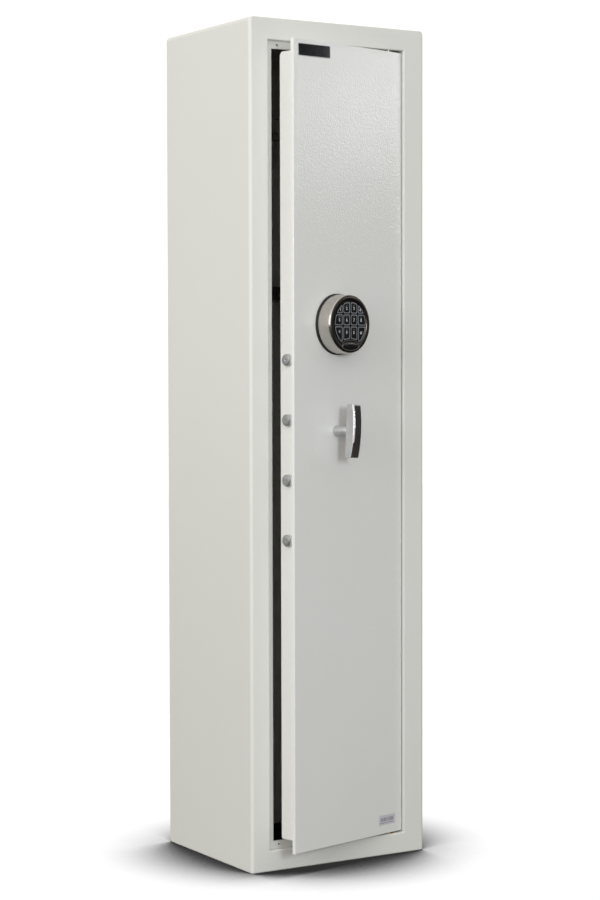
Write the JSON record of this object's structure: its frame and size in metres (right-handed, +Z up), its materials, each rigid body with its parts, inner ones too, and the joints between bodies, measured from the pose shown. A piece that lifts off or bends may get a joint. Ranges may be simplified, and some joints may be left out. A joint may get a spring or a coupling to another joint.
{
  "type": "gun safe",
  "caption": "Tall narrow steel gun safe, door ajar, round electronic keypad, T-handle, side locking bolts, inner locker and barrel rack.",
  "frame": {"origin": "centre of the cabinet's base, on the floor", "axes": "+Z up, +X to the right seen from the front, +Y towards the back; the front face looks along -Y"},
  "size_m": [0.354, 0.3831, 1.45],
  "materials": {
    "shell_coat": "fine orange-peel powder coat, off-white",
    "door_coat": "fine orange-peel powder coat, off-white",
    "interior_coat": "powder coat, off-white",
    "zinc_steel": "zinc plated",
    "bright_steel": "turned bright steel",
    "brass": "turned",
    "hard_steel": "hardened, dark",
    "cast_zinc": "die cast",
    "satin_nickel": "satin nickel plated",
    "polished_chrome": "polished",
    "black_chrome": "polished black chrome",
    "black_rubber": "matt",
    "key_rubber": "satin, grey printed outline",
    "black_plastic": "satin",
    "gloss_black": "gloss",
    "board_green": "solder mask",
    "rack_foam": "closed-cell foam",
    "badge_black": "blank, pale border",
    "foil": "printed foil"
  },
  "bodies": {
    "cabinet": {"left_side": "shell_coat", "right_side": "shell_coat", "top_panel": "shell_coat", "base_plate": "shell_coat", "back_panel": "shell_coat", "front_frame": "shell_coat", "upper_hinge_block": "shell_coat", "lower_hinge_block": "shell_coat", "thrust_washer": "brass", "bolt_keeper": "shell_coat", "locker_body": "interior_coat", "barrel_rack": "interior_coat", "barrel_rack_pad": "rack_foam", "base_mat": "black_rubber"},
    "door": {"door_plate": "door_coat", "door_pan": "door_coat", "pan_cover": "door_coat", "cover_screws": "zinc_steel", "hinge_lugs": "door_coat", "hinge_pins": "zinc_steel", "blank_badge": "badge_black", "foil_label": "foil", "bolt_guide": "zinc_steel", "handle_bush": "brass", "lock_case": "cast_zinc", "hard_plate": "hard_steel", "lock_screws": "zinc_steel", "keypad_gasket": "black_rubber", "keypad_drum": "satin_nickel", "keypad_lens": "gloss_black", "keypad_bezel": "black_chrome", "keypad_face": "black_plastic", "circuit_board": "board_green", "battery": "gloss_black"},
    "handle": {"handle_shaft": "satin_nickel", "handle_bar": "satin_nickel", "handle_cap": "polished_chrome", "handle_cam": "zinc_steel", "retaining_ring": "zinc_steel"},
    "boltwork": {"bolt_carriage": "zinc_steel", "locking_bolts": "bright_steel", "bolt_screws": "zinc_steel", "follower_pin": "zinc_steel"},
    "lock_bolt": {"lock_bolt": "cast_zinc"},
    "locker_flap": {"locker_flap": "interior_coat", "locker_hinge_rod": "zinc_steel", "locker_lock": "polished_chrome"},
    "locker_key": {"locker_key_plug": "polished_chrome"},
    "key_one": {"key_one": "key_rubber"},
    "key_two": {"key_two": "key_rubber"},
    "key_three": {"key_three": "key_rubber"},
    "key_four": {"key_four": "key_rubber"},
    "key_five": {"key_five": "key_rubber"},
    "key_six": {"key_six": "key_rubber"},
    "key_seven": {"key_seven": "key_rubber"},
    "key_eight": {"key_eight": "key_rubber"},
    "key_star": {"key_star": "key_rubber"},
    "key_nine": {"key_nine": "key_rubber"},
    "key_zero": {"key_zero": "key_rubber"},
    "key_hash": {"key_hash": "key_rubber"}
  },
  "joints": [
    {"name": "door_swing", "type": "hinge", "parent": "cabinet", "child": "door", "pos_m": [0.1093, -0.137, 0.725], "axis": [0, 0, 1], "range_deg": [-14.14, 95.86]},
    {"name": "handle_turn", "type": "hinge", "parent": "door", "child": "handle", "pos_m": [-0.02753, -0.18333, 0.7532], "axis": [0.2443, -0.9697, 0], "range_deg": [0, 90]},
    {"name": "boltwork_slide", "type": "slide", "parent": "door", "child": "boltwork", "axis": [-0.9697, -0.2443, 0], "range_m": [0, 0.022]},
    {"name": "lock_bolt_slide", "type": "slide", "parent": "door", "child": "lock_bolt", "axis": [0, 0, -1], "range_m": [0, 0.011]},
    {"name": "locker_flap_drop", "type": "hinge", "parent": "cabinet", "child": "locker_flap", "pos_m": [0, 0.013, 1.3025], "axis": [1, 0, 0], "range_deg": [0, 90]},
    {"name": "locker_key_turn", "type": "hinge", "parent": "locker_flap", "child": "locker_key", "pos_m": [0, 0.012, 1.3852], "axis": [0, 1, 0], "range_deg": [0, 90]},
    {"name": "press_one", "type": "slide", "parent": "door", "child": "key_one", "axis": [-0.2443, 0.9697, 0], "range_m": [0, 0.001], "stiffness_N_per_m": 600},
    {"name": "press_two", "type": "slide", "parent": "door", "child": "key_two", "axis": [-0.2443, 0.9697, 0], "range_m": [0, 0.001], "stiffness_N_per_m": 600},
    {"name": "press_three", "type": "slide", "parent": "door", "child": "key_three", "axis": [-0.2443, 0.9697, 0], "range_m": [0, 0.001], "stiffness_N_per_m": 600},
    {"name": "press_four", "type": "slide", "parent": "door", "child": "key_four", "axis": [-0.2443, 0.9697, 0], "range_m": [0, 0.001], "stiffness_N_per_m": 600},
    {"name": "press_five", "type": "slide", "parent": "door", "child": "key_five", "axis": [-0.2443, 0.9697, 0], "range_m": [0, 0.001], "stiffness_N_per_m": 600},
    {"name": "press_six", "type": "slide", "parent": "door", "child": "key_six", "axis": [-0.2443, 0.9697, 0], "range_m": [0, 0.001], "stiffness_N_per_m": 600},
    {"name": "press_seven", "type": "slide", "parent": "door", "child": "key_seven", "axis": [-0.2443, 0.9697, 0], "range_m": [0, 0.001], "stiffness_N_per_m": 600},
    {"name": "press_eight", "type": "slide", "parent": "door", "child": "key_eight", "axis": [-0.2443, 0.9697, 0], "range_m": [0, 0.001], "stiffness_N_per_m": 600},
    {"name": "press_star", "type": "slide", "parent": "door", "child": "key_star", "axis": [-0.2443, 0.9697, 0], "range_m": [0, 0.001], "stiffness_N_per_m": 600},
    {"name": "press_nine", "type": "slide", "parent": "door", "child": "key_nine", "axis": [-0.2443, 0.9697, 0], "range_m": [0, 0.001], "stiffness_N_per_m": 600},
    {"name": "press_zero", "type": "slide", "parent": "door", "child": "key_zero", "axis": [-0.2443, 0.9697, 0], "range_m": [0, 0.001], "stiffness_N_per_m": 600},
    {"name": "press_hash", "type": "slide", "parent": "door", "child": "key_hash", "axis": [-0.2443, 0.9697, 0], "range_m": [0, 0.001], "stiffness_N_per_m": 600}
  ],
  "couplings": [
    {"joint": "boltwork_slide", "follows": "handle_turn", "m_per_rad": 0.014006},
    {"joint": "lock_bolt_slide", "follows": "handle_turn", "m_per_rad": 0.0070028}
  ]
}
